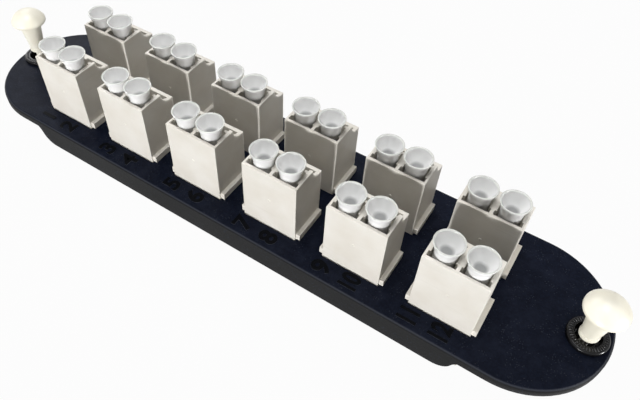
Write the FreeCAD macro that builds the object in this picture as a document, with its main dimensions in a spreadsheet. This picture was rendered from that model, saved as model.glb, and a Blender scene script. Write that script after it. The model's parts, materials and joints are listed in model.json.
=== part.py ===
import FreeCAD, Part
import math
import os
import Sketcher

# A snap-in panel of duplex fibre adapters, in millimetres.
# World frame: X along the panel, Y from the front row to the rear row, Z out of the front face,
# with z = 0 on the rear mouths of the adapters. Every size sits in the sheet, and sketches,
# features and places are bound to it by expressions.

SIZES = {
    # Plate and its two long skirts, heights measured from the front face of the plate.
    "panel_length": 155.8,
    "panel_width": 35.0,
    "plate_thickness": 2.0,
    "edge_break": 0.5,
    "skirt_depth": 6.2,
    "skirt_wall": 2.0,
    "skirt_setback": 20.2,
    "skirt_ramp": 7.2,
    "rib_wall": 1.6,
    "rib_depth": 5.0,
    "cutout_clearance": 0.15,
    # Field of adapters.
    "column_pitch": 19.4,
    "row_spacing": 15.0,
    # Adapter halves, heights measured from the plane midway between their mouths. The front half
    # carries the flange, and the two are welded at the flange's underside.
    "adapter_width": 12.8,
    "adapter_depth": 9.3,
    "half_length": 14.1,
    "flange_thickness": 1.6,
    "flange_reach": 0.92,
    "flange_inset": 0.4,
    "cove_radius": 2.7,
    "cove_set_in": 0.55,
    # One connector port, laid out from the front wall towards the latch side.
    "port_pitch": 6.25,
    "port_width": 4.74,
    "front_wall": 0.7,
    "relief_width": 0.4,
    "relief_length": 1.15,
    "rail_length": 3.1,
    "shoulder_gap": 3.5,
    "shoulder_length": 0.6,
    "latch_width": 4.9,
    "latch_wall": 0.9,
    "port_floor": 2.4,
    # Ferrule towers and the split sleeves in them.
    "tower_radius": 1.45,
    "tower_height": 6.3,
    "sleeve_radius": 0.81,
    "sleeve_wall": 0.185,
    "sleeve_length": 6.8,
    "sleeve_slit": 0.25,
    "sleeve_clearance": 0.03,
    # Dust caps.
    "cap_clearance": 0.22,
    "cap_tip_gap": 0.4,
    "cap_neck": 0.7,
    "cap_height": 3.06,
    "cap_rim_gap": 0.31,
    "cap_rim_wall": 0.3,
    "cup_floor_radius": 1.35,
    "cup_depth": 2.8,
    # Spring clips behind the plate.
    "clip_stock": 0.3,
    "clip_gap": 0.05,
    "clip_height": 4.4,
    "clip_leg_setback": 1.8,
    "tongue_width": 3.0,
    "tongue_rise": 3.0,
    "tongue_spread": 0.9,
    # Grommets, heights measured from the front face of the plate.
    "grommet_inset": 4.9,
    "ring_radius": 4.0,
    "ring_height": 1.0,
    "ring_edge": 0.3,
    "mouth_flare": 0.45,
    "mouth_depth": 0.2,
    "shank_radius": 3.3,
    "shank_clearance": 0.1,
    "barb_reach": 0.3,
    "barb_play": 0.1,
    "barb_land": 0.4,
    "barb_taper": 1.0,
    "pin_wall": 0.6,
    "pin_end": 9.0,
    "tip_taper": 0.6,
    "slot_width": 0.8,
    # Plungers, each drawn as far out as its pull, which is the height of its collar above the plate.
    "left_pull": 2.6,
    "right_pull": 0.9,
    "foot_radius": 1.95,
    "foot_height": 2.0,
    "foot_clearance": 0.2,
    "stem_radius": 0.9,
    "stem_length": 6.6,
    "collar_radius": 1.95,
    "collar_height": 1.1,
    "neck_radius": 1.8,
    "neck_end_radius": 2.7,
    "neck_length": 7.3,
    "head_radius": 4.15,
    "head_band": 0.65,
    "dome_height": 2.6,
}
COLUMNS = 6
ROWS = 2


class Size:
    # A number kept together with the sheet expression that gives it.
    def __init__(self, number, text):
        self.number = number
        self.text = text

    def __add__(self, other):
        return Size(self.number + other.number, f"({self.text} + {other.text})")

    def __sub__(self, other):
        return Size(self.number - other.number, f"({self.text} - {other.text})")

    def __mul__(self, factor):
        return Size(self.number * factor, f"({self.text} * {factor})")

    def __truediv__(self, divisor):
        return Size(self.number / divisor, f"({self.text} / {divisor})")

    def __neg__(self):
        return self * -1


doc = FreeCAD.newDocument("fibre_adapter_panel")
sheet = doc.addObject("Spreadsheet::Sheet", "sizes")
size = {}
for row, (alias, value) in enumerate(SIZES.items(), start=1):
    sheet.set(f"A{row}", alias)
    sheet.set(f"B{row}", str(value))
    sheet.setAlias(f"B{row}", alias)
    size[alias] = Size(value, f"<<sizes>>.{alias}")
doc.recompute()

# Distances that several pieces share.
face_z = size["half_length"] - size["flange_thickness"]
half_width = size["adapter_width"] / 2
half_depth = size["adapter_depth"] / 2
port_x = size["port_pitch"] / 2
port_y = size["front_wall"] + size["port_width"] / 2 - half_depth
bore_radius = size["sleeve_radius"] + size["sleeve_clearance"]
grommet_bore = size["foot_radius"] + size["foot_clearance"]
grommet_x = size["panel_length"] / 2 - size["grommet_inset"]


def bind(item, prop, length):
    item.setExpression(prop, length.text)


def place(item, x, y, z, flip=False):
    turn = FreeCAD.Rotation(FreeCAD.Vector(0, 1, 0), 180 if flip else 0)
    item.Placement = FreeCAD.Placement(FreeCAD.Vector(0, 0, 0), turn)
    for axis, length in (("x", x), ("y", y), ("z", z)):
        if length != 0:
            bind(item, f"Placement.Base.{axis}", length)


def new_body(label, x=0, y=0, z=0, flip=False):
    body = doc.addObject("PartDesign::Body", label)
    place(body, x, y, z, flip)
    return body


def new_link(label, master, x, y, z, flip=False):
    copy = doc.addObject("App::Link", label)
    copy.LinkedObject = master
    copy.Label = label
    place(copy, x, y, z, flip)
    return copy


def datum(body, role):
    return next(item for item in body.Origin.OriginFeatures if item.Role == role)


def new_sketch(body, name, plane, offset=0):
    sketch = body.newObject("Sketcher::SketchObject", name)
    sketch.AttachmentSupport = [(datum(body, plane), "")]
    sketch.MapMode = "FlatFace"
    if offset != 0:
        bind(sketch, "AttachmentOffset.Base.z", offset)
    return sketch


def vector(x, y):
    return FreeCAD.Vector(*(0 if length == 0 else length.number for length in (x, y)), 0)


def hold(sketch, rule, name, length):
    index = sketch.addConstraint(rule)
    sketch.renameConstraint(index, name)
    bind(sketch, f"Constraints.{name}", length)


def pin_down(sketch, geometry, point, x, y):
    # Fixes one sketch point to two lengths from the sketch origin, where 0 means on the axis.
    for kind, length, axis in (("DistanceX", x, -2), ("DistanceY", y, -1)):
        if length == 0:
            sketch.addConstraint(Sketcher.Constraint("PointOnObject", geometry, point, axis))
        else:
            rule = Sketcher.Constraint(kind, -1, 1, geometry, point, length.number)
            hold(sketch, rule, f"{kind}_{geometry}_{point}", length)


def add_loop(sketch, corners, dome=None):
    # Closed loop through corners that are each pinned down. The segment numbered by dome is an
    # arc centred on the vertical axis, all others are straight.
    points = [vector(x, y) for x, y in corners]
    first = sketch.GeometryCount
    count = len(points)
    for i, start in enumerate(points):
        end = points[(i + 1) % count]
        segment = Part.LineSegment(start, end)
        if i == dome:
            rise = end.y - start.y
            radius = (start.x ** 2 + rise ** 2) / (2 * rise)
            circle = Part.Circle(end - FreeCAD.Vector(0, radius, 0), FreeCAD.Vector(0, 0, 1), radius)
            segment = Part.ArcOfCircle(circle, math.acos(start.x / radius), math.pi / 2)
        sketch.addGeometry(segment, False)
    for i, (x, y) in enumerate(corners):
        joined = first + (i - 1) % count
        sketch.addConstraint(Sketcher.Constraint("Coincident", joined, 2, first + i, 1))
        pin_down(sketch, first + i, 1, x, y)
    if dome is not None:
        sketch.addConstraint(Sketcher.Constraint("PointOnObject", first + dome, 3, -2))


def add_box(sketch, x0, x1, y0, y1):
    add_loop(sketch, [(x0, y0), (x1, y0), (x1, y1), (x0, y1)])


def add_circle(sketch, x, y, radius):
    circle = Part.Circle(vector(x, y), FreeCAD.Vector(0, 0, 1), radius.number)
    geometry = sketch.addGeometry(circle, False)
    pin_down(sketch, geometry, 3, x, y)
    hold(sketch, Sketcher.Constraint("Radius", geometry, radius.number), f"r_{geometry}", radius)


def extrude(kind, body, name, sketch, length, symmetric=False, reverse=False):
    feature = body.newObject(f"PartDesign::{kind}", name)
    feature.Profile = sketch
    feature.SideType = "Symmetric" if symmetric else "One side"
    feature.Reversed = reverse
    bind(feature, "Length", length)
    return feature


def revolve(body, name, corners, dome=None):
    sketch = new_sketch(body, f"{name}_profile", "XZ_Plane")
    add_loop(sketch, corners, dome)
    feature = body.newObject("PartDesign::Revolution", name)
    feature.Profile = sketch
    feature.ReferenceAxis = (sketch, ["V_Axis"])
    feature.Angle = 360
    return feature


def mirror(body, name, originals, plane):
    feature = body.newObject("PartDesign::Mirrored", name)
    feature.Originals = originals
    feature.MirrorPlane = (datum(body, plane), [""])
    body.Tip = feature


def column_x(column):
    return size["column_pitch"] * (column - (COLUMNS - 1) / 2)


def row_y(row):
    return size["row_spacing"] * (row - (ROWS - 1) / 2)


def add_stadium(sketch, length, width):
    # Two straight sides closed by full-round ends.
    reach = (length - width) / 2
    radius = width / 2
    up = FreeCAD.Vector(0, 0, 1)
    right, left = vector(reach, 0), vector(-reach, 0)
    side = vector(0, radius)
    quarter = math.pi / 2
    for centre, start in ((right, -quarter), (left, quarter)):
        circle = Part.Circle(centre, up, radius.number)
        sketch.addGeometry(Part.ArcOfCircle(circle, start, start + math.pi), False)
    sketch.addGeometry(Part.LineSegment(right + side, left + side), False)
    sketch.addGeometry(Part.LineSegment(left - side, right - side), False)
    for arc, arc_end, line, line_end in ((0, 2, 2, 1), (1, 1, 2, 2), (1, 2, 3, 1), (0, 1, 3, 2)):
        sketch.addConstraint(Sketcher.Constraint("Tangent", arc, arc_end, line, line_end))
    pin_down(sketch, 0, 3, reach, 0)
    pin_down(sketch, 1, 3, -reach, 0)
    hold(sketch, Sketcher.Constraint("Radius", 0, radius.number), "end_radius", radius)


def add_run_out(sketch, half_top, half_foot, top, foot):
    # Skirt seen from the side: level top and foot, joined at both ends by an S of two equal
    # arcs that are tangent to each other and to the level lines.
    along = half_top.number - half_foot.number
    down = top.number - foot.number
    radius = (along ** 2 + down ** 2) / (4 * down)
    sweep = math.asin(along / 2 / radius)
    up = FreeCAD.Vector(0, 0, 1)
    lift = FreeCAD.Vector(0, radius, 0)
    quarter = math.pi / 2
    sketch.addGeometry(Part.LineSegment(vector(half_top, top), vector(-half_top, top)), False)
    sketch.addGeometry(Part.LineSegment(vector(-half_foot, foot), vector(half_foot, foot)), False)
    bends = (
        (vector(-half_top, top) - lift, quarter - sweep, quarter),
        (vector(-half_foot, foot) + lift, 3 * quarter - sweep, 3 * quarter),
        (vector(half_foot, foot) + lift, 3 * quarter, 3 * quarter + sweep),
        (vector(half_top, top) - lift, quarter, quarter + sweep),
    )
    for centre, start, end in bends:
        circle = Part.Circle(centre, up, radius)
        sketch.addGeometry(Part.ArcOfCircle(circle, start, end), False)
    for one, one_end, other, other_end in (
        (0, 2, 2, 2), (2, 1, 3, 1), (3, 2, 1, 1), (1, 2, 4, 1), (4, 2, 5, 2), (5, 1, 0, 1),
    ):
        sketch.addConstraint(Sketcher.Constraint("Tangent", one, one_end, other, other_end))
    sketch.addConstraint(Sketcher.Constraint("Equal", 2, 3))
    sketch.addConstraint(Sketcher.Constraint("Equal", 4, 5))
    pin_down(sketch, 0, 1, half_top, top)
    pin_down(sketch, 0, 2, -half_top, top)
    pin_down(sketch, 1, 1, -half_foot, foot)
    pin_down(sketch, 1, 2, half_foot, foot)


def build_panel():
    body = new_body("panel", z=face_z)
    outline = new_sketch(body, "plate_outline", "XY_Plane")
    add_stadium(outline, size["panel_length"], size["panel_width"])
    plate = extrude("Pad", body, "plate", outline, size["plate_thickness"], reverse=True)
    doc.recompute()
    front_rim = [f"Edge{number}" for number, edge in enumerate(plate.Shape.Edges, start=1)
                 if abs(edge.BoundBox.ZMin) < 1e-6]
    softened = body.newObject("PartDesign::Chamfer", "softened_rim")
    softened.Base = (plate, front_rim)
    bind(softened, "Size", size["edge_break"])

    # The skirt and the rib start inside the plate so that each joins it over an area.
    root = -size["plate_thickness"] / 2
    half_top = size["panel_length"] / 2 - size["skirt_setback"]
    side = new_sketch(body, "skirt_side", "XZ_Plane", size["panel_width"] / 2)
    add_run_out(side, half_top, half_top - size["skirt_ramp"], root, -size["skirt_depth"])
    skirt = extrude("Pad", body, "skirt", side, size["skirt_wall"], reverse=True)
    mirror(body, "rear_skirt", [skirt], "XZ_Plane")
    base = new_sketch(body, "rib_base", "XY_Plane", root)
    half_wall = size["rib_wall"] / 2
    add_box(base, -half_top, half_top, -half_wall, half_wall)
    extrude("Pad", body, "rib", base, size["rib_depth"] + root, reverse=True)

    # One column of adapter cutouts, repeated along the panel, and the two grommet holes.
    window = new_sketch(body, "cutout_window", "XY_Plane")
    across = half_width + size["cutout_clearance"]
    through = half_depth + size["cutout_clearance"]
    for row in range(ROWS):
        add_box(window, column_x(0) - across, column_x(0) + across,
                row_y(row) - through, row_y(row) + through)
    cutouts = extrude("Pocket", body, "cutouts", window, size["plate_thickness"])
    columns = body.newObject("PartDesign::LinearPattern", "cutout_columns")
    columns.Originals = [cutouts]
    columns.Direction = (datum(body, "X_Axis"), [""])
    columns.Occurrences = COLUMNS
    bind(columns, "Length", size["column_pitch"] * (COLUMNS - 1))
    body.Tip = columns
    holes = new_sketch(body, "grommet_circles", "XY_Plane")
    for x in (-grommet_x, grommet_x):
        add_circle(holes, x, 0, size["shank_radius"] + size["shank_clearance"])
    extrude("Pocket", body, "grommet_holes", holes, size["plate_thickness"])
    return body


def port_corners():
    # Plan of one port from the front wall to the latch side: corner reliefs, guide rails, the
    # two shoulders that a connector latch locks behind, and the channel for the latch.
    stations = (
        (size["relief_length"], size["port_width"] / 2 + size["relief_width"]),
        (size["rail_length"], size["port_width"] / 2),
        (size["shoulder_length"], size["shoulder_gap"] / 2),
    )
    y = size["front_wall"] - half_depth
    right, left = [], []
    for length, reach in stations:
        for edge in (y, y + length):
            right.append((port_x + reach, edge))
            left.append((port_x - reach, edge))
        y = y + length
    reach = size["latch_width"] / 2
    for edge in (y, half_depth - size["latch_wall"]):
        right.append((port_x + reach, edge))
        left.append((port_x - reach, edge))
    return right + left[::-1]


def build_half(label, flip, flanged):
    body = new_body(label, column_x(0), row_y(0), size["half_length"], flip)
    base = -size["flange_thickness"] if flanged else size["flange_thickness"]
    block = new_sketch(body, "block_outline", "XY_Plane", base)
    add_box(block, -half_width, half_width, -half_depth, half_depth)
    extrude("Pad", body, "block", block, size["half_length"] - base)
    if flanged:
        rim = new_sketch(body, "flange_outline", "XY_Plane", base)
        across = half_width + size["flange_reach"]
        through = half_depth - size["flange_inset"]
        add_box(rim, -across, across, -through, through)
        extrude("Pad", body, "flange", rim, size["flange_thickness"])

    # One port with its tower and sleeve bore, mirrored to make the pair.
    plan = new_sketch(body, "port_plan", "XY_Plane", size["half_length"])
    add_loop(plan, port_corners())
    port = extrude("Pocket", body, "port", plan, size["half_length"] - size["port_floor"])
    foot = new_sketch(body, "tower_circle", "XY_Plane", base)
    add_circle(foot, port_x, port_y, size["tower_radius"])
    tower = extrude("Pad", body, "tower", foot, size["tower_height"] - base)
    tip = new_sketch(body, "bore_circle", "XY_Plane", size["tower_height"])
    add_circle(tip, port_x, port_y, bore_radius)
    bore = extrude("Pocket", body, "sleeve_bore", tip, size["tower_height"] - base)
    mirror(body, "second_port", [port, tower, bore], "YZ_Plane")

    # Thumb cove across the latch side of the mouth.
    arch = new_sketch(body, "cove_circle", "YZ_Plane")
    add_circle(arch, half_depth - size["cove_set_in"], size["half_length"], size["cove_radius"])
    extrude("Pocket", body, "cove", arch, size["adapter_width"] * 2, symmetric=True)
    return body


def build_cap(label):
    x = column_x(0) - port_x
    body = new_body(label, x, row_y(0) + port_y, size["half_length"])
    plug = size["port_width"] / 2 - size["cap_clearance"]
    rim = (size["port_pitch"] - size["cap_rim_gap"]) / 2
    tip = size["tower_height"] + size["cap_tip_gap"]
    neck = size["half_length"] + size["cap_neck"]
    top = size["half_length"] + size["cap_height"]
    floor = top - size["cup_depth"]
    revolve(body, "cap", [
        (0, tip), (plug, tip), (plug, neck), (rim, top), (rim - size["cap_rim_wall"], top),
        (size["cup_floor_radius"], floor), (0, floor),
    ])
    return body


def build_sleeve(label):
    x = column_x(0) - port_x
    body = new_body(label, x, row_y(0) + port_y, size["half_length"])
    ring = new_sketch(body, "sleeve_ring", "XY_Plane")
    add_circle(ring, 0, 0, size["sleeve_radius"])
    add_circle(ring, 0, 0, size["sleeve_radius"] - size["sleeve_wall"])
    extrude("Pad", body, "tube", ring, size["sleeve_length"], symmetric=True)
    cut = new_sketch(body, "slit_outline", "XY_Plane")
    half_slit = size["sleeve_slit"] / 2
    add_box(cut, -half_slit, half_slit, 0, size["sleeve_radius"] * 2)
    extrude("Pocket", body, "slit", cut, size["sleeve_length"] * 2, symmetric=True)
    return body


def build_clip(label):
    body = new_body(label, column_x(0), row_y(0), face_z)
    inner_x = half_width + size["clip_gap"]
    outer_x = inner_x + size["clip_stock"]
    inner_y = -half_depth - size["clip_gap"]
    outer_y = inner_y - size["clip_stock"]
    end_y = half_depth - size["clip_leg_setback"]
    seat = -size["plate_thickness"]
    channel = new_sketch(body, "channel_plan", "XY_Plane", seat)
    add_loop(channel, [
        (-outer_x, outer_y), (outer_x, outer_y), (outer_x, end_y), (inner_x, end_y),
        (inner_x, inner_y), (-inner_x, inner_y), (-inner_x, end_y), (-outer_x, end_y),
    ])
    extrude("Pad", body, "channel", channel, size["clip_height"], reverse=True)

    # Sprung tongue that leans out of each leg and bears on the back of the plate.
    lean = new_sketch(body, "tongue_side", "XZ_Plane")
    foot = seat - size["tongue_rise"]
    spread = size["tongue_spread"]
    add_loop(lean, [
        (inner_x, foot), (outer_x, foot), (outer_x + spread, seat), (inner_x + spread, seat),
    ])
    tongue = extrude("Pad", body, "tongue", lean, size["tongue_width"], symmetric=True)
    mirror(body, "second_tongue", [tongue], "YZ_Plane")
    return body


def build_grommet(label):
    body = new_body(label, -grommet_x, 0, face_z)
    mouth = grommet_bore + size["mouth_flare"]
    shank = size["shank_radius"]
    barb = shank + size["shank_clearance"] + size["barb_reach"]
    pin = grommet_bore + size["pin_wall"]
    under = -size["plate_thickness"] - size["barb_play"]
    land = under - size["barb_land"]
    end = -size["pin_end"]
    tip = pin - size["pin_wall"] / 2
    top = size["ring_height"]
    ring = size["ring_radius"]
    revolve(body, "turned_form", [
        (mouth, top), (grommet_bore, -size["mouth_depth"]), (grommet_bore, end), (tip, end),
        (pin, end + size["tip_taper"]), (pin, land - size["barb_taper"]), (barb, land),
        (barb, under), (shank, under), (shank, 0), (ring, 0), (ring, top - size["ring_edge"]),
        (ring - size["ring_edge"], top),
    ])

    # Two crossed slots split the shank into four legs from the tip to the barb.
    slot = new_sketch(body, "slot_side", "XZ_Plane")
    half_slot = size["slot_width"] / 2
    add_box(slot, -half_slot, half_slot, end * 2, under)
    slots = extrude("Pocket", body, "slot", slot, ring * 4, symmetric=True)
    crossed = body.newObject("PartDesign::PolarPattern", "crossed_slots")
    crossed.Originals = [slots]
    crossed.Axis = (datum(body, "Z_Axis"), [""])
    crossed.Angle = 90
    crossed.Occurrences = 2
    body.Tip = crossed
    return body


def build_plunger(label):
    # The foot runs in the grommet's bore on a thin stem. Above the collar the neck widens to the
    # flat underside of a domed head.
    body = new_body(label, -grommet_x, 0, face_z + size["left_pull"])
    foot, stem = size["foot_radius"], size["stem_radius"]
    collar, head = size["collar_radius"], size["head_radius"]
    foot_top = -size["stem_length"]
    end = foot_top - size["foot_height"]
    collar_top = size["collar_height"]
    underside = collar_top + size["neck_length"]
    band = underside + size["head_band"]
    revolve(body, "turned_form", [
        (0, end), (foot, end), (foot, foot_top), (stem, foot_top), (stem, 0), (collar, 0),
        (collar, collar_top), (size["neck_radius"], collar_top), (size["neck_end_radius"], underside),
        (head, underside), (head, band), (0, band + size["dome_height"]),
    ], dome=10)
    return body


def numbered(stem, master, places, flip=False):
    # The master is the first of the run and every further place gets a link to it.
    run = [master]
    for number, (x, y, z) in enumerate(places[1:], start=2):
        run.append(new_link(f"{stem}_{number:02d}", master, x, y, z, flip))
    return run


def gathered(label, members):
    group = doc.addObject("Part::Compound", label)
    group.Links = members
    return group


adapter_places = []
port_places = []
clip_places = []
for row in range(ROWS):
    for column in range(COLUMNS):
        x, y = column_x(column), row_y(row)
        adapter_places.append((x, y, size["half_length"]))
        clip_places.append((x, y, face_z))
        for centre in (x - port_x, x + port_x):
            port_places.append((centre, y + port_y, size["half_length"]))

nodes = [build_panel()]
nodes += numbered("front_housing", build_half("front_housing_01", False, True), adapter_places)
nodes += numbered("rear_housing", build_half("rear_housing_01", True, False), adapter_places, True)
nodes += numbered("dust_cap", build_cap("dust_cap_01"), port_places)
nodes.append(gathered("alignment_sleeves", numbered("sleeve", build_sleeve("sleeve_01"), port_places)))
nodes.append(gathered("retaining_clips", numbered("clip", build_clip("clip_01"), clip_places)))
grommet = build_grommet("grommet_left")
nodes += [grommet, new_link("grommet_right", grommet, grommet_x, 0, face_z)]
plunger = build_plunger("plunger_left")
nodes += [plunger, new_link("plunger_right", plunger, grommet_x, 0, face_z + size["right_pull"])]

doc.recompute()
for item in doc.Objects:
    if "Invalid" in item.State or "Error" in item.State:
        raise RuntimeError(f"{item.Label} is in state {item.State}")

os.makedirs("parts", exist_ok=True)
for node in nodes:
    if node.Shape.isNull() or not node.Shape.isValid() or not node.Shape.Solids:
        raise RuntimeError(f"{node.Label} has no sound solid")
    node.Shape.exportStep(f"parts/{node.Label}.step")
print(len(nodes), "nodes written")
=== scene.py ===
import bpy
import json
import math
import numpy as np
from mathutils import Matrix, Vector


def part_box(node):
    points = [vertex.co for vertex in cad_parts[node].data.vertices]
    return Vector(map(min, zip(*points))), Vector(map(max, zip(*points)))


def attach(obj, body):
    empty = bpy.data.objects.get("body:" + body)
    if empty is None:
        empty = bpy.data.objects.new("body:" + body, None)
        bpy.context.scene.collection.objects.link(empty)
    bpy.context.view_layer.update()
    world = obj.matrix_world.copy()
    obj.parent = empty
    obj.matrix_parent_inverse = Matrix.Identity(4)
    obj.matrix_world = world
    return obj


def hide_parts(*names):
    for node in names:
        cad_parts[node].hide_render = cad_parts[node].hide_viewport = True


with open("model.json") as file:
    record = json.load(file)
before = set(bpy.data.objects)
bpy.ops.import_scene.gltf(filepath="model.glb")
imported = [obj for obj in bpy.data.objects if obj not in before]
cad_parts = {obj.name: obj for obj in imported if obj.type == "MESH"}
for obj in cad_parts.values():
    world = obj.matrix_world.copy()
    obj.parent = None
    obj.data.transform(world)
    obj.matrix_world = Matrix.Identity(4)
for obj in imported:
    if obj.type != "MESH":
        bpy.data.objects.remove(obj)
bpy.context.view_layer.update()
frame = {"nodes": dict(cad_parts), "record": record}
nodes = frame["nodes"]
# Lengths in the dictionaries are in millimetres. Only bump depths and the lengths of the stage, the
# lights and the camera are in metres.
mm = 0.001
portCount, adapterCount, perRow = 24, 12, 6
sides = ("left", "right")
scene = bpy.context.scene
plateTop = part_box("panel")[1].z
print("frame loaded:", len(nodes), "nodes")


def newMaterial(name):
    material = bpy.data.materials.new(name)
    material.use_nodes = True
    tree = material.node_tree
    return material, tree, tree.nodes["Principled BSDF"]


def objectCoords(tree):
    return tree.nodes.new("ShaderNodeTexCoord").outputs["Object"]


def stretchedCoords(tree, scale):
    mapping = tree.nodes.new("ShaderNodeMapping")
    mapping.inputs["Scale"].default_value = scale
    tree.links.new(objectCoords(tree), mapping.inputs["Vector"])
    return mapping.outputs["Vector"]


def noiseOn(tree, coords, scale, detail, roughness=0.5):
    noise = tree.nodes.new("ShaderNodeTexNoise")
    noise.inputs["Scale"].default_value = scale
    noise.inputs["Detail"].default_value = detail
    noise.inputs["Roughness"].default_value = roughness
    tree.links.new(coords, noise.inputs["Vector"])
    return noise.outputs["Fac"]


# Colours along a factor: each stop is a place from 0 to 1 and the colour there.
def rampOn(tree, factor, stops):
    ramp = tree.nodes.new("ShaderNodeValToRGB")
    elements = ramp.color_ramp.elements
    while len(elements) < len(stops):
        elements.new(0.5)
    for element, (place, colour) in zip(elements, stops):
        element.position = place
        element.color = (*colour, 1)
    tree.links.new(factor, ramp.inputs["Fac"])
    return ramp.outputs["Color"]


def spanOn(tree, factor, ends):
    low, high = ends
    span = tree.nodes.new("ShaderNodeMapRange")
    span.inputs["To Min"].default_value = low
    span.inputs["To Max"].default_value = high
    tree.links.new(factor, span.inputs["Value"])
    return span.outputs["Result"]


# Share of the way from the low to the high level, by height in the object's own frame.
def heightOn(tree, low, high):
    place = tree.nodes.new("ShaderNodeSeparateXYZ")
    tree.links.new(objectCoords(tree), place.inputs["Vector"])
    share = tree.nodes.new("ShaderNodeMapRange")
    share.inputs["From Min"].default_value = low
    share.inputs["From Max"].default_value = high
    tree.links.new(place.outputs["Z"], share.inputs["Value"])
    return share.outputs["Result"]


# Colour mix: the colour sockets of the mix node are its inputs 6 and 7 and its output 2.
def mixOn(tree, factor, first, second):
    mix = tree.nodes.new("ShaderNodeMix")
    mix.data_type = "RGBA"
    tree.links.new(factor, mix.inputs["Factor"])
    for socket, value in ((mix.inputs[6], first), (mix.inputs[7], second)):
        if isinstance(value, tuple):
            socket.default_value = (*value, 1)
        else:
            tree.links.new(value, socket)
    return mix.outputs[2]


# Specks: the middle of each cell nearer than the given size, kept only inside noise patches.
def speckOn(tree, coords, cells, size, patches, share):
    dots = tree.nodes.new("ShaderNodeTexVoronoi")
    dots.inputs["Scale"].default_value = cells
    tree.links.new(coords, dots.inputs["Vector"])
    near = tree.nodes.new("ShaderNodeMath")
    near.operation = "LESS_THAN"
    near.inputs[1].default_value = size
    tree.links.new(dots.outputs["Distance"], near.inputs[0])
    inside = tree.nodes.new("ShaderNodeMath")
    inside.operation = "GREATER_THAN"
    inside.inputs[1].default_value = share
    tree.links.new(noiseOn(tree, coords, patches, detail=2.0), inside.inputs[0])
    both = tree.nodes.new("ShaderNodeMath")
    both.operation = "MULTIPLY"
    tree.links.new(near.outputs[0], both.inputs[0])
    tree.links.new(inside.outputs[0], both.inputs[1])
    return both.outputs[0]


def bumpOn(tree, height, distance, strength):
    bump = tree.nodes.new("ShaderNodeBump")
    bump.inputs["Strength"].default_value = strength
    bump.inputs["Distance"].default_value = distance
    tree.links.new(height, bump.inputs["Height"])
    return bump.outputs["Normal"]


# Plate plastic: fine spark-eroded grain with paler tips, a broad pale haze, painted glints here and
# there, a side wall painted neutral grey under a face painted navy for its bluish reflection, and a
# painted highlight line where the side meets the face.
plateLook = {"deep": (0.0008, 0.0020, 0.0074), "tip": (0.0032, 0.0060, 0.0150),
             "grain": 2600.0, "grainDetail": 3.0, "grainRoughness": 0.6, "grainStops": (0.45, 0.78),
             "pale": (0.0068, 0.0095, 0.0200), "cloud": 380.0, "cloudDetail": 5.0,
             "cloudRoughness": 0.65, "cloudStops": (0.42, 0.72), "cloudDepth": 0.75,
             "side": (0.011, 0.0113, 0.0120), "faceEdge": 0.4,
             "rubbedAndHighlight": (0.030, 0.033, 0.042), "highlightMiddle": 0.45, "highlightEnd": 0.93,
             "glint": (0.017, 0.020, 0.029), "glintCells": 2300.0, "glintSize": 0.24,
             "glintPatches": 420.0, "glintShare": 0.54,
             "mottle": 90.0, "mottleDetail": 4.0, "gloss": (0.42, 0.62),
             "bump": 0.00006, "bumpStrength": 0.6, "specular": 0.06}


def makePlatePlastic():
    material, tree, shader = newMaterial("platePlastic")
    coords = objectCoords(tree)
    grain = noiseOn(tree, coords, plateLook["grain"], plateLook["grainDetail"],
                    plateLook["grainRoughness"])
    mottle = noiseOn(tree, coords, plateLook["mottle"], plateLook["mottleDetail"])
    low, high = plateLook["grainStops"]
    colour = rampOn(tree, grain, [(low, plateLook["deep"]), (high, plateLook["tip"])])
    haze = noiseOn(tree, coords, plateLook["cloud"], plateLook["cloudDetail"],
                   plateLook["cloudRoughness"])
    low, high = plateLook["cloudStops"]
    clouded = rampOn(tree, haze, [(low, (0, 0, 0)), (high, (plateLook["cloudDepth"],) * 3)])
    colour = mixOn(tree, clouded, colour, plateLook["pale"])
    # Painted reflection: the side wall is painted neutral grey and the face keeps its navy, which
    # stands in for a bluish reflection on the face.
    face = heightOn(tree, plateTop - plateLook["faceEdge"] * mm, plateTop)
    colour = mixOn(tree, face, plateLook["side"], colour)
    # Painted highlight: a pale line along the top of the side wall, where it meets the face.
    rubbedAndHighlight = rampOn(tree, face, [(0.0, (0, 0, 0)), (plateLook["highlightMiddle"], (1, 1, 1)),
                                 (plateLook["highlightEnd"], (0, 0, 0))])
    colour = mixOn(tree, rubbedAndHighlight, colour, plateLook["rubbedAndHighlight"])
    # Painted glints: pale specks here and there on the grain.
    specks = speckOn(tree, coords, plateLook["glintCells"], plateLook["glintSize"],
                     plateLook["glintPatches"], plateLook["glintShare"])
    colour = mixOn(tree, specks, colour, plateLook["glint"])
    tree.links.new(colour, shader.inputs["Base Color"])
    tree.links.new(spanOn(tree, mottle, plateLook["gloss"]), shader.inputs["Roughness"])
    tree.links.new(bumpOn(tree, grain, plateLook["bump"], plateLook["bumpStrength"]),
                   shader.inputs["Normal"])
    shader.inputs["Specular IOR Level"].default_value = plateLook["specular"]
    return material


# Figure plastic: the plate's own moulding, but polished where the tool was, so it reads blacker,
# with a painted highlight line round the foot.
figureLook = {"deep": (0.0008, 0.0011, 0.0020), "haze": (0.0016, 0.0020, 0.0034), "cloud": 700.0,
              "foot": (0.050, 0.055, 0.068), "footHeight": 0.12,
              "detail": 3.0, "stops": (0.4, 0.7), "gloss": (0.4, 0.55), "specular": 0.035}


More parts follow.
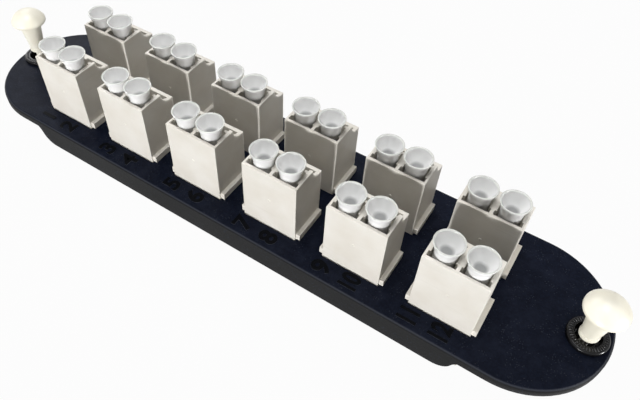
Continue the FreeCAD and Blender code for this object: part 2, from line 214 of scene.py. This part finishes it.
def makeFigurePlastic():
    material, tree, shader = newMaterial("figurePlastic")
    cloud = noiseOn(tree, objectCoords(tree), figureLook["cloud"], figureLook["detail"])
    low, high = figureLook["stops"]
    colour = rampOn(tree, cloud, [(low, figureLook["deep"]), (high, figureLook["haze"])])
    # Painted highlight: a pale line along the foot of each figure.
    rise = heightOn(tree, plateTop, plateTop + figureLook["footHeight"] * mm)
    colour = mixOn(tree, rise, figureLook["foot"], colour)
    tree.links.new(colour, shader.inputs["Base Color"])
    tree.links.new(spanOn(tree, cloud, figureLook["gloss"]), shader.inputs["Roughness"])
    shader.inputs["Specular IOR Level"].default_value = figureLook["specular"]
    return material


# Adapter plastic: warm ivory with a faint flow cloud, level streaks and a very fine tool grain.
housingLook = {"light": (0.80, 0.772, 0.715), "warm": (0.745, 0.708, 0.64),
               "streak": (0.66, 0.625, 0.56), "streaks": (70.0, 70.0, 1500.0),
               "streakStops": (0.60, 0.85), "streakDepth": 0.4, "streakDetail": 3.0,
               "cloud": 160.0, "cloudDetail": 3.0, "cloudStops": (0.35, 0.65), "gloss": (0.38, 0.5),
               "grain": 4200.0, "grainDetail": 2.0, "bump": 0.000012, "bumpStrength": 0.5,
               "specular": 0.2}


def makeHousingPlastic():
    material, tree, shader = newMaterial("housingPlastic")
    coords = objectCoords(tree)
    cloud = noiseOn(tree, coords, housingLook["cloud"], housingLook["cloudDetail"])
    grain = noiseOn(tree, coords, housingLook["grain"], housingLook["grainDetail"])
    low, high = housingLook["cloudStops"]
    colour = rampOn(tree, cloud, [(low, housingLook["warm"]), (high, housingLook["light"])])
    streaks = stretchedCoords(tree, housingLook["streaks"])
    flow = noiseOn(tree, streaks, 1.0, housingLook["streakDetail"])
    low, high = housingLook["streakStops"]
    streak = rampOn(tree, flow, [(low, (0, 0, 0)), (high, (housingLook["streakDepth"],) * 3)])
    colour = mixOn(tree, streak, colour, housingLook["streak"])
    tree.links.new(colour, shader.inputs["Base Color"])
    tree.links.new(spanOn(tree, cloud, housingLook["gloss"]), shader.inputs["Roughness"])
    tree.links.new(bumpOn(tree, grain, housingLook["bump"], housingLook["bumpStrength"]),
                   shader.inputs["Normal"])
    shader.inputs["Specular IOR Level"].default_value = housingLook["specular"]
    return material


# Cap plastic: natural soft plastic that lets light through but blurs what is behind it. Painted
# shade greys the bottom of the cup, and the thin rim is painted greyer.
capLook = {"milk": (0.985, 0.988, 0.980), "clear": (0.955, 0.962, 0.955), "cloud": 420.0,
           "wellShade": (0.34, 0.345, 0.345), "transmission": 0.06, "roughness": 0.22, "ior": 1.38,
           "rim": (0.68, 0.69, 0.66), "rimShadeHeight": 0.45, "scatter": 1.0, "depth": 0.4,
           "detail": 3.0, "stops": (0.3, 0.7), "bump": 0.00002, "bumpStrength": 0.4}


def makeCapPlastic():
    material, tree, shader = newMaterial("capPlastic")
    cloud = noiseOn(tree, objectCoords(tree), capLook["cloud"], capLook["detail"])
    low, high = capLook["stops"]
    colour = rampOn(tree, cloud, [(low, capLook["clear"]), (high, capLook["milk"])])
    # Painted shade: greyer towards the bottom of the cup.
    wellShadeNode = tree.nodes.new("ShaderNodeAttribute")
    wellShadeNode.attribute_name = "paintedWellShade"
    colour = mixOn(tree, wellShadeNode.outputs["Fac"], colour, capLook["wellShade"])
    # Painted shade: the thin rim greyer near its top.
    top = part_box("dust_cap_01")[1].z
    rimShadeMask = heightOn(tree, top - capLook["rimShadeHeight"] * mm, top)
    colour = mixOn(tree, rimShadeMask, colour, capLook["rim"])
    tree.links.new(colour, shader.inputs["Base Color"])
    tree.links.new(bumpOn(tree, cloud, capLook["bump"], capLook["bumpStrength"]),
                   shader.inputs["Normal"])
    shader.inputs["Roughness"].default_value = capLook["roughness"]
    shader.inputs["IOR"].default_value = capLook["ior"]
    shader.inputs["Transmission Weight"].default_value = capLook["transmission"]
    shader.inputs["Subsurface Weight"].default_value = capLook["scatter"]
    shader.inputs["Subsurface Radius"].default_value = (1, 1, 1)
    shader.inputs["Subsurface Scale"].default_value = capLook["depth"] * mm
    return material


# Plunger plastic: undyed nylon, a little waxy.
plungerLook = {"pale": (0.90, 0.87, 0.76), "warm": (0.85, 0.81, 0.68), "cloud": 240.0,
               "detail": 3.0, "stops": (0.35, 0.7), "gloss": (0.3, 0.42), "bump": 0.00003,
               "bumpStrength": 0.4}


def makePlungerPlastic():
    material, tree, shader = newMaterial("plungerPlastic")
    cloud = noiseOn(tree, objectCoords(tree), plungerLook["cloud"], plungerLook["detail"])
    low, high = plungerLook["stops"]
    colour = rampOn(tree, cloud, [(low, plungerLook["warm"]), (high, plungerLook["pale"])])
    tree.links.new(colour, shader.inputs["Base Color"])
    tree.links.new(spanOn(tree, cloud, plungerLook["gloss"]), shader.inputs["Roughness"])
    tree.links.new(bumpOn(tree, cloud, plungerLook["bump"], plungerLook["bumpStrength"]),
                   shader.inputs["Normal"])
    return material


# Grommet plastic: glossy black nylon with faint flow marks.
grommetLook = {"deep": (0.002, 0.002, 0.0025), "haze": (0.008, 0.008, 0.009), "cloud": 380.0,
               "detail": 4.0, "stops": (0.4, 0.75), "gloss": (0.16, 0.3), "bump": 0.00004,
               "bumpStrength": 0.4, "specular": 0.22}


def makeGrommetPlastic():
    material, tree, shader = newMaterial("grommetPlastic")
    cloud = noiseOn(tree, objectCoords(tree), grommetLook["cloud"], grommetLook["detail"])
    low, high = grommetLook["stops"]
    colour = rampOn(tree, cloud, [(low, grommetLook["deep"]), (high, grommetLook["haze"])])
    tree.links.new(colour, shader.inputs["Base Color"])
    tree.links.new(spanOn(tree, cloud, grommetLook["gloss"]), shader.inputs["Roughness"])
    tree.links.new(bumpOn(tree, cloud, grommetLook["bump"], grommetLook["bumpStrength"]),
                   shader.inputs["Normal"])
    shader.inputs["Specular IOR Level"].default_value = grommetLook["specular"]
    return material


# Clip steel: bright strip, brushed along its length.
clipLook = {"dark": (0.42, 0.42, 0.43), "bright": (0.66, 0.66, 0.66), "brush": (90.0, 90.0, 5200.0),
            "detail": 3.0, "stops": (0.35, 0.65), "gloss": (0.22, 0.38)}


def makeClipSteel():
    material, tree, shader = newMaterial("clipSteel")
    brush = noiseOn(tree, stretchedCoords(tree, clipLook["brush"]), 1.0, clipLook["detail"])
    low, high = clipLook["stops"]
    colour = rampOn(tree, brush, [(low, clipLook["dark"]), (high, clipLook["bright"])])
    tree.links.new(colour, shader.inputs["Base Color"])
    tree.links.new(spanOn(tree, brush, clipLook["gloss"]), shader.inputs["Roughness"])
    shader.inputs["Metallic"].default_value = 1.0
    return material


# Sleeve ceramic: polished, off-white, faintly mottled.
sleeveLook = {"cool": (0.84, 0.83, 0.80), "warm": (0.90, 0.88, 0.83), "mottle": 900.0,
              "detail": 3.0, "stops": (0.35, 0.65), "gloss": (0.1, 0.18)}


def makeSleeveCeramic():
    material, tree, shader = newMaterial("sleeveCeramic")
    mottle = noiseOn(tree, objectCoords(tree), sleeveLook["mottle"], sleeveLook["detail"])
    low, high = sleeveLook["stops"]
    colour = rampOn(tree, mottle, [(low, sleeveLook["cool"]), (high, sleeveLook["warm"])])
    tree.links.new(colour, shader.inputs["Base Color"])
    tree.links.new(spanOn(tree, mottle, sleeveLook["gloss"]), shader.inputs["Roughness"])
    return material


# Rib plastic: the ring's own nylon, rubbed paler along the ribs.
ribLook = {"dull": (0.022, 0.022, 0.024), "rubbedAndHighlight": (0.075, 0.075, 0.080), "cloud": 900.0,
           "detail": 3.0, "stops": (0.35, 0.65), "gloss": (0.2, 0.35), "specular": 0.3}


def makeRibPlastic():
    material, tree, shader = newMaterial("ribPlastic")
    cloud = noiseOn(tree, objectCoords(tree), ribLook["cloud"], ribLook["detail"])
    low, high = ribLook["stops"]
    colour = rampOn(tree, cloud, [(low, ribLook["dull"]), (high, ribLook["rubbedAndHighlight"])])
    tree.links.new(colour, shader.inputs["Base Color"])
    tree.links.new(spanOn(tree, cloud, ribLook["gloss"]), shader.inputs["Roughness"])
    shader.inputs["Specular IOR Level"].default_value = ribLook["specular"]
    return material


finish = {
    "panel_black": makePlatePlastic(),
    "housing_beige": makeHousingPlastic(),
    "cap_clear": makeCapPlastic(),
    "plunger_cream": makePlungerPlastic(),
    "grommet_black": makeGrommetPlastic(),
    "clip_steel": makeClipSteel(),
    "sleeve_white": makeSleeveCeramic(),
}
for part in frame["record"]["subparts"]:
    mesh = nodes[part["node"]].data
    mesh.materials.clear()
    mesh.materials.append(finish[part["material_slot"]])
detailFinish = {"figure": makeFigurePlastic(), "rib": makeRibPlastic()}
print("finishes made:", len(finish) + len(detailFinish))


def addPiece(name, points, faces, slotName, body):
    mesh = bpy.data.meshes.new(name)
    mesh.from_pydata(points, [], faces)
    mesh.validate()
    mesh.polygons.foreach_set("use_smooth", np.full(len(mesh.polygons), True))
    mesh.materials.append(finish[slotName])
    piece = bpy.data.objects.new(name, mesh)
    scene.collection.objects.link(piece)
    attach(piece, body)
    return piece


# Corner rounding of a profile: each inner corner becomes a quadratic curve that leaves and
# meets its two sides at the given distance, sampled at evenly spaced parameters.
def roundedProfile(corners, radii, steps):
    corners = np.asarray(corners, float)
    pieces = [corners[:1]]
    t = np.linspace(0, 1, steps)[:, None]
    for before, corner, after, radius in zip(corners, corners[1:], corners[2:], radii):
        back = before - corner
        ahead = after - corner
        start = corner + back / np.linalg.norm(back) * radius
        end = corner + ahead / np.linalg.norm(ahead) * radius
        pieces.append((1 - t) ** 2 * start + 2 * t * (1 - t) * corner + t ** 2 * end)
    pieces.append(corners[-1:])
    return np.vstack(pieces)


# Surface of revolution: the point at profile step i and turn j is (r cos a, r sin a, z) about
# the centre. The first and last profile points lie on the axis and close to a single pole.
def turnedMesh(profile, turns, centre):
    angle = np.linspace(0, 2 * np.pi, turns, endpoint=False)
    radius, height = profile[1:-1, 0], profile[1:-1, 1]
    ring = np.stack([radius[:, None] * np.cos(angle), radius[:, None] * np.sin(angle),
                     np.broadcast_to(height[:, None], (len(height), turns))], axis=-1)
    poles = np.array([[0, 0, profile[0, 1]], [0, 0, profile[-1, 1]]])
    points = np.vstack([ring.reshape(-1, 3), poles]) + centre
    i, j = np.meshgrid(np.arange(len(height) - 1), np.arange(turns), indexing="ij")
    k = (j + 1) % turns
    quads = np.stack([i * turns + j, i * turns + k, (i + 1) * turns + k, (i + 1) * turns + j],
                     axis=-1)
    low, high = len(points) - 2, len(points) - 1
    j, k = np.arange(turns), (np.arange(turns) + 1) % turns
    last = (len(height) - 1) * turns
    foot = np.stack([np.full(turns, low), k, j], axis=-1)
    head = np.stack([np.full(turns, high), last + j, last + k], axis=-1)
    return points, quads.reshape(-1, 4).tolist() + foot.tolist() + head.tolist()


# Dust cap: plug, flared neck, thin rolled rim and a tapered cup with a flat floor.
capForm = {"plug": 2.15, "neckHeight": 0.7, "rim": 2.97, "rimWall": 0.3, "cupFloor": 1.35,
           "cupDepth": 2.8}
capSteps = {"turns": 48, "corner": 5}
capCorners = (0.3, 0.9, 0.14, 0.14, 0.5)
# Painted shade at the bottom of each cup: where it starts, how it spreads and how far it reaches.
wellShadeForm = {"start": 1.25, "spread": 0.55, "reach": 0.2}


def makeCap(number):
    node = f"dust_cap_{number:02d}"
    low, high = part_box(node)
    centre = np.array([(low.x + high.x) / 2, (low.y + high.y) / 2, 0])
    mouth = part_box("front_housing_01")[1].z
    top = high.z
    form = {key: value * mm for key, value in capForm.items()}
    corners = [(0, low.z), (form["plug"], low.z), (form["plug"], mouth + form["neckHeight"]),
               (form["rim"], top), (form["rim"] - form["rimWall"], top),
               (form["cupFloor"], top - form["cupDepth"]), (0, top - form["cupDepth"])]
    profile = roundedProfile(corners, np.array(capCorners) * mm, capSteps["corner"])
    points, faces = turnedMesh(profile, capSteps["turns"], centre)
    piece = addPiece(f"capSkin_{number:02d}", points, faces, "cap_clear", f"cap_{number:02d}")
    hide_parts(node)
    # Painted shade at each point, greyest at the bottom of the cup: none outside the cup, and
    # inside it the start less the spread times the square of the radius over the floor's and less
    # the rise over the reach.
    inCup = np.arange(len(profile)) > np.argmax(profile[:, 1])
    spread = wellShadeForm["spread"] * (profile[:, 0] / form["cupFloor"]) ** 2
    rise = (profile[:, 1] - profile[-1, 1]) / (wellShadeForm["reach"] * form["cupDepth"])
    share = np.clip(wellShadeForm["start"] - spread - rise, 0, 1) * inCup
    values = np.concatenate([np.repeat(share[1:-1], capSteps["turns"]), share[[0, -1]]])
    piece.data.attributes.new("paintedWellShade", "FLOAT", "POINT").data.foreach_set("value", values)


for number in range(1, portCount + 1):
    makeCap(number)
print("caps turned:", portCount)

# Plunger: a foot on a thin stem, a rolled collar, a neck that widens to the flat underside of the
# head, a narrow band and a domed crown.
plungerForm = {"foot": 1.95, "footHeight": 2.0, "stem": 0.9, "stemLength": 6.6, "collar": 1.95,
               "collarHeight": 1.1, "neck": 1.8, "neckEnd": 2.7, "neckLength": 7.3, "head": 4.15,
               "band": 0.65, "crown": 2.6}
plungerSteps = {"turns": 72, "corner": 7, "dome": 16}
plungerCorners = (0.5, 0.4, 0.2, 0.1, 0.4, 0.3, 0.07, 0.9, 0.22, 0.2)


def makePlunger(side):
    node = f"plunger_{side}"
    low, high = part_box(node)
    centre = np.array([(low.x + high.x) / 2, (low.y + high.y) / 2, 0])
    form = {key: value * mm for key, value in plungerForm.items()}
    footTop = low.z + form["footHeight"]
    collarFoot = footTop + form["stemLength"]
    collarTop = collarFoot + form["collarHeight"]
    underside = collarTop + form["neckLength"]
    bandTop = underside + form["band"]
    # The crown is part of a ball whose radius is the square of the head's radius plus the square
    # of the crown's height, over twice that height.
    radius = (form["head"] ** 2 + form["crown"] ** 2) / (2 * form["crown"])
    lean = np.linspace(math.asin(form["head"] / radius), 0, plungerSteps["dome"])
    dome = np.stack([radius * np.sin(lean), high.z - radius + radius * np.cos(lean)], axis=-1)
    corners = [(0, low.z), (form["foot"], low.z), (form["foot"], footTop), (form["stem"], footTop),
               (form["stem"], collarFoot), (form["collar"], collarFoot),
               (form["collar"], collarTop), (form["neck"], collarTop),
               (form["neckEnd"], underside), (form["head"], underside),
               (form["head"], bandTop), dome[1]]
    lower = roundedProfile(corners, np.array(plungerCorners) * mm, plungerSteps["corner"])
    profile = np.vstack([lower, dome[2:]])
    points, faces = turnedMesh(profile, plungerSteps["turns"], centre)
    piece = addPiece(f"plungerSkin_{side}", points, faces, "plunger_cream", f"latch_{side}")
    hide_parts(node)


for side in sides:
    makePlunger(side)
print("plungers turned:", len(sides))

# Port numerals: plain figures standing a little proud of the plate, tops towards the left end.
numeralForm = {"size": 4.3, "tall": 1.27, "wide": (1.36, 0.95), "proud": 0.08, "roll": 0.09,
               "rollSteps": 2, "bold": 0.05, "row": 14.6, "first": -4.9, "second": 1.6}


def makeNumeral(number, x, y):
    curve = bpy.data.curves.new(f"numeralCurve_{number}", "FONT")
    curve.body = str(number)
    curve.size = numeralForm["size"] * mm
    curve.align_x = "CENTER"
    curve.align_y = "CENTER"
    curve.extrude = numeralForm["proud"] * mm
    curve.bevel_depth = numeralForm["roll"] * mm
    curve.bevel_resolution = numeralForm["rollSteps"]
    curve.offset = numeralForm["bold"] * mm
    holder = bpy.data.objects.new("numeralHolder", curve)
    scene.collection.objects.link(holder)
    mesh = bpy.data.meshes.new_from_object(holder)
    bpy.data.objects.remove(holder)
    points = np.empty(len(mesh.vertices) * 3)
    mesh.vertices.foreach_get("co", points)
    points = points.reshape(-1, 3)
    # A figure's own width runs along Y and its own height against X, each with its own stretch.
    tall, wide = numeralForm["tall"], numeralForm["wide"][len(curve.body) - 1]
    placed = np.stack([x - tall * points[:, 1], y + wide * points[:, 0], plateTop + points[:, 2]],
                      axis=-1)
    mesh.vertices.foreach_set("co", placed.ravel())
    mesh.materials.clear()
    mesh.materials.append(detailFinish["figure"])
    piece = bpy.data.objects.new(f"numeral_{number:02d}", mesh)
    scene.collection.objects.link(piece)
    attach(piece, "panel_assembly")


for adapter in range(adapterCount):
    low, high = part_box(f"front_housing_{adapter + 1:02d}")
    middle = (low.x + high.x) / 2
    margin = numeralForm["row"] * mm * (-1 if adapter < perRow else 1)
    makeNumeral(2 * adapter + 1, middle + numeralForm["first"] * mm, margin)
    makeNumeral(2 * adapter + 2, middle + numeralForm["second"] * mm, margin)
print("numerals set:", portCount)


# Beads: each is an ellipsoid, its point at latitude p and longitude q being the centre plus
# sin p cos q, sin p sin q and cos p along its own three half axes. All share one mesh.
def beadMesh(centres, halfAxes, rings, turns):
    lat = np.linspace(0, np.pi, rings + 2)[1:-1, None]
    lon = np.linspace(0, 2 * np.pi, turns, endpoint=False)
    belt = np.stack([np.sin(lat) * np.cos(lon), np.sin(lat) * np.sin(lon), np.cos(lat) + 0 * lon],
                    axis=-1)
    unit = np.vstack([belt.reshape(-1, 3), [[0, 0, 1], [0, 0, -1]]])
    points = centres[:, None] + np.einsum("mk,nkc->nmc", unit, halfAxes)
    i, j = np.meshgrid(np.arange(rings - 1), np.arange(turns), indexing="ij")
    k = (j + 1) % turns
    quads = np.stack([i * turns + j, (i + 1) * turns + j, (i + 1) * turns + k, i * turns + k],
                     axis=-1).reshape(-1, 4)
    j, k = np.arange(turns), (np.arange(turns) + 1) % turns
    top, last = rings * turns, (rings - 1) * turns
    ends = np.vstack([np.stack([np.full(turns, top), j, k], axis=-1),
                      np.stack([np.full(turns, top + 1), last + k, last + j], axis=-1)])
    shift = np.arange(len(centres))[:, None, None] * len(unit)
    faces = (quads + shift).reshape(-1, 4).tolist() + (ends + shift).reshape(-1, 3).tolist()
    return points.reshape(-1, 3), faces


# Gate marks: a low round scar in the middle of each adapter's front face.
gateForm = {"radius": 0.32, "proud": 0.09, "height": 8.4, "rings": 5, "turns": 14}


def makeGateMarks():
    boxes = [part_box(f"front_housing_{number:02d}") for number in range(1, adapterCount + 1)]
    level = plateTop + gateForm["height"] * mm
    centres = np.array([((low.x + high.x) / 2, low.y, level) for low, high in boxes])
    halfAxes = np.array([(gateForm["radius"], 0, 0), (0, 0, gateForm["radius"]),
                         (0, -gateForm["proud"], 0)]) * mm
    halfAxes = np.repeat(halfAxes[None], adapterCount, axis=0)
    points, faces = beadMesh(centres, halfAxes, gateForm["rings"], gateForm["turns"])
    addPiece("gateMarks", points, faces, "housing_beige", "panel_assembly")


# Ring ribs: short radial grip ribs round the top of each grommet's ring.
ribForm = {"count": 40, "middle": 3.22, "long": 0.38, "wide": 0.11, "proud": 0.16, "rings": 6,
           "turns": 8}


def makeRingRibs(side):
    low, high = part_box(f"grommet_{side}")
    angle = np.linspace(0, 2 * np.pi, ribForm["count"], endpoint=False)
    outward = np.stack([np.cos(angle), np.sin(angle), 0 * angle], axis=-1)
    around = np.stack([-np.sin(angle), np.cos(angle), 0 * angle], axis=-1)
    upward = np.broadcast_to([0.0, 0.0, 1.0], outward.shape)
    hub = np.array([(low.x + high.x) / 2, (low.y + high.y) / 2, high.z])
    centres = hub + outward * ribForm["middle"] * mm
    halfAxes = np.stack([around * ribForm["wide"], upward * ribForm["proud"],
                         outward * ribForm["long"]], axis=1) * mm
    points, faces = beadMesh(centres, halfAxes, ribForm["rings"], ribForm["turns"])
    piece = addPiece(f"ringRibs_{side}", points, faces, "grommet_black", "panel_assembly")
    piece.data.materials[0] = detailFinish["rib"]


makeGateMarks()
for side in sides:
    makeRingRibs(side)
print("gate marks and ring ribs set")

# Soft moulded edges: the loose facets are welded, then every corner sharper than the limit is
# rounded by a fine bevel. Flat and turned faces keep their place.
edgeRadius = {"housing_beige": 0.12, "panel_black": 0.3, "grommet_black": 0.1}
edgeForm = {"weld": 0.002, "segments": 2, "limit": 40}


def softenEdges(piece, radius):
    weld = piece.modifiers.new("weldFacets", "WELD")
    weld.merge_threshold = edgeForm["weld"] * mm
    bevel = piece.modifiers.new("softEdge", "BEVEL")
    bevel.width = radius * mm
    bevel.segments = edgeForm["segments"]
    bevel.limit_method = "ANGLE"
    bevel.angle_limit = math.radians(edgeForm["limit"])
    bevel.harden_normals = True


for part in frame["record"]["subparts"]:
    if part["material_slot"] in edgeRadius:
        softenEdges(nodes[part["node"]], edgeRadius[part["material_slot"]])
print("edges softened")


# What the camera sees directly, in a gloss or through a clear piece, is the white surround.
def whiteToView(tree, darker, lighter, share):
    path = tree.nodes.new("ShaderNodeLightPath")
    rays = path.outputs["Is Camera Ray"]
    for kind in ("Is Glossy Ray", "Is Transmission Ray"):
        either = tree.nodes.new("ShaderNodeMath")
        either.operation = "MAXIMUM"
        tree.links.new(rays, either.inputs[0])
        tree.links.new(path.outputs[kind], either.inputs[1])
        rays = either.outputs[0]
    part = tree.nodes.new("ShaderNodeMath")
    part.operation = "MULTIPLY"
    part.inputs[1].default_value = share
    tree.links.new(rays, part.inputs[0])
    choose = tree.nodes.new("ShaderNodeMixShader")
    tree.links.new(part.outputs[0], choose.inputs["Fac"])
    tree.links.new(darker, choose.inputs[1])
    tree.links.new(lighter, choose.inputs[2])
    return choose.outputs[0]


# Stage: a pale floor that shows white to the camera and keeps a soft shadow.
stageForm = {"half": 1.2, "colour": (0.22, 0.22, 0.22, 1), "roughness": 0.9, "white": 0.97}


def makeStage():
    mesh = bpy.data.meshes.new("floor")
    half = stageForm["half"]
    corners = [(-half, -half, 0), (half, -half, 0), (half, half, 0), (-half, half, 0)]
    mesh.from_pydata(corners, [], [(0, 1, 2, 3)])
    floor = bpy.data.objects.new("floor", mesh)
    scene.collection.objects.link(floor)
    material, tree, shader = newMaterial("paleFloor")
    shader.inputs["Base Color"].default_value = stageForm["colour"]
    shader.inputs["Roughness"].default_value = stageForm["roughness"]
    shader.inputs["Specular IOR Level"].default_value = 0.0
    glow = tree.nodes.new("ShaderNodeEmission")
    surface = whiteToView(tree, shader.outputs[0], glow.outputs[0], stageForm["white"])
    tree.links.new(surface, tree.nodes["Material Output"].inputs["Surface"])
    mesh.materials.append(material)


makeStage()

# Soft studio light: a low key from the front, a fill from the right end, weak light from above
# and from behind on the left, and an even surround.
lights = [
    {"name": "key", "place": (0.02, -1.10, 0.035), "size": 0.16, "power": 15.2},
    {"name": "side", "place": (0.95, 0.0, 0.05), "size": 0.12, "power": 7.4},
    {"name": "top", "place": (-0.05, -0.05, 0.95), "size": 0.4, "power": 5.7},
    {"name": "rim", "place": (-0.75, 0.45, 0.62), "size": 0.5, "power": 4.2},
]
lampTarget = (0, 0, 0.015)
surroundLevel = 0.041
surroundColour = (1, 0.965, 0.88, 1)


# A lamp shines down its own -Z: the tilt's tangent is the level distance over the drop, and the
# heading is the direction's own angle less a quarter turn.
def aimAt(obj, target):
    direction = np.array(target) - np.array(obj.location)
    flat = math.hypot(direction[0], direction[1])
    heading = math.atan2(direction[1], direction[0]) - math.pi / 2
    obj.rotation_euler = (math.atan2(flat, -direction[2]), 0, heading)


for light in lights:
    lamp = bpy.data.lights.new(light["name"], "AREA")
    lamp.energy = light["power"]
    lamp.size = light["size"]
    holder = bpy.data.objects.new(light["name"], lamp)
    holder.location = light["place"]
    aimAt(holder, lampTarget)
    scene.collection.objects.link(holder)

world = bpy.data.worlds.new("surround")
world.use_nodes = True
tree = world.node_tree
sky = tree.nodes["Background"]
sky.inputs["Color"].default_value = surroundColour
sky.inputs["Strength"].default_value = surroundLevel
white = tree.nodes.new("ShaderNodeBackground")
white.inputs["Color"].default_value = (1, 1, 1, 1)
white.inputs["Strength"].default_value = 1.0
surround = whiteToView(tree, sky.outputs[0], white.outputs[0], 1.0)
tree.links.new(surround, tree.nodes["World Output"].inputs["Surface"])
scene.world = world
scene.view_settings.view_transform = "Standard"

# Camera: place, turn and lens worked out from the photograph's own perspective. The lens is the
# focal length in pixels over the picture's width, times the sensor's width, and the shift is the
# distance from the optical axis to the picture's middle, over the width.
view = {"place": (0.05654, -0.07643, 0.11781), "turn": (41.331, -1.191, 33.328),
        "focalPixels": 627.0, "width": 640, "axis": (297.9, 179.4), "centre": (320, 200),
        "sensor": 36, "nearest": 0.005}
lens = bpy.data.cameras.new("camera")
lens.sensor_width = view["sensor"]
lens.lens = view["focalPixels"] / view["width"] * lens.sensor_width
lens.shift_x = (view["centre"][0] - view["axis"][0]) / view["width"]
lens.shift_y = (view["axis"][1] - view["centre"][1]) / view["width"]
lens.clip_start = view["nearest"]
camera = bpy.data.objects.new("camera", lens)
camera.location = view["place"]
camera.rotation_euler = [math.radians(angle) for angle in view["turn"]]
scene.collection.objects.link(camera)
scene.camera = camera
print("stage, light and camera set")
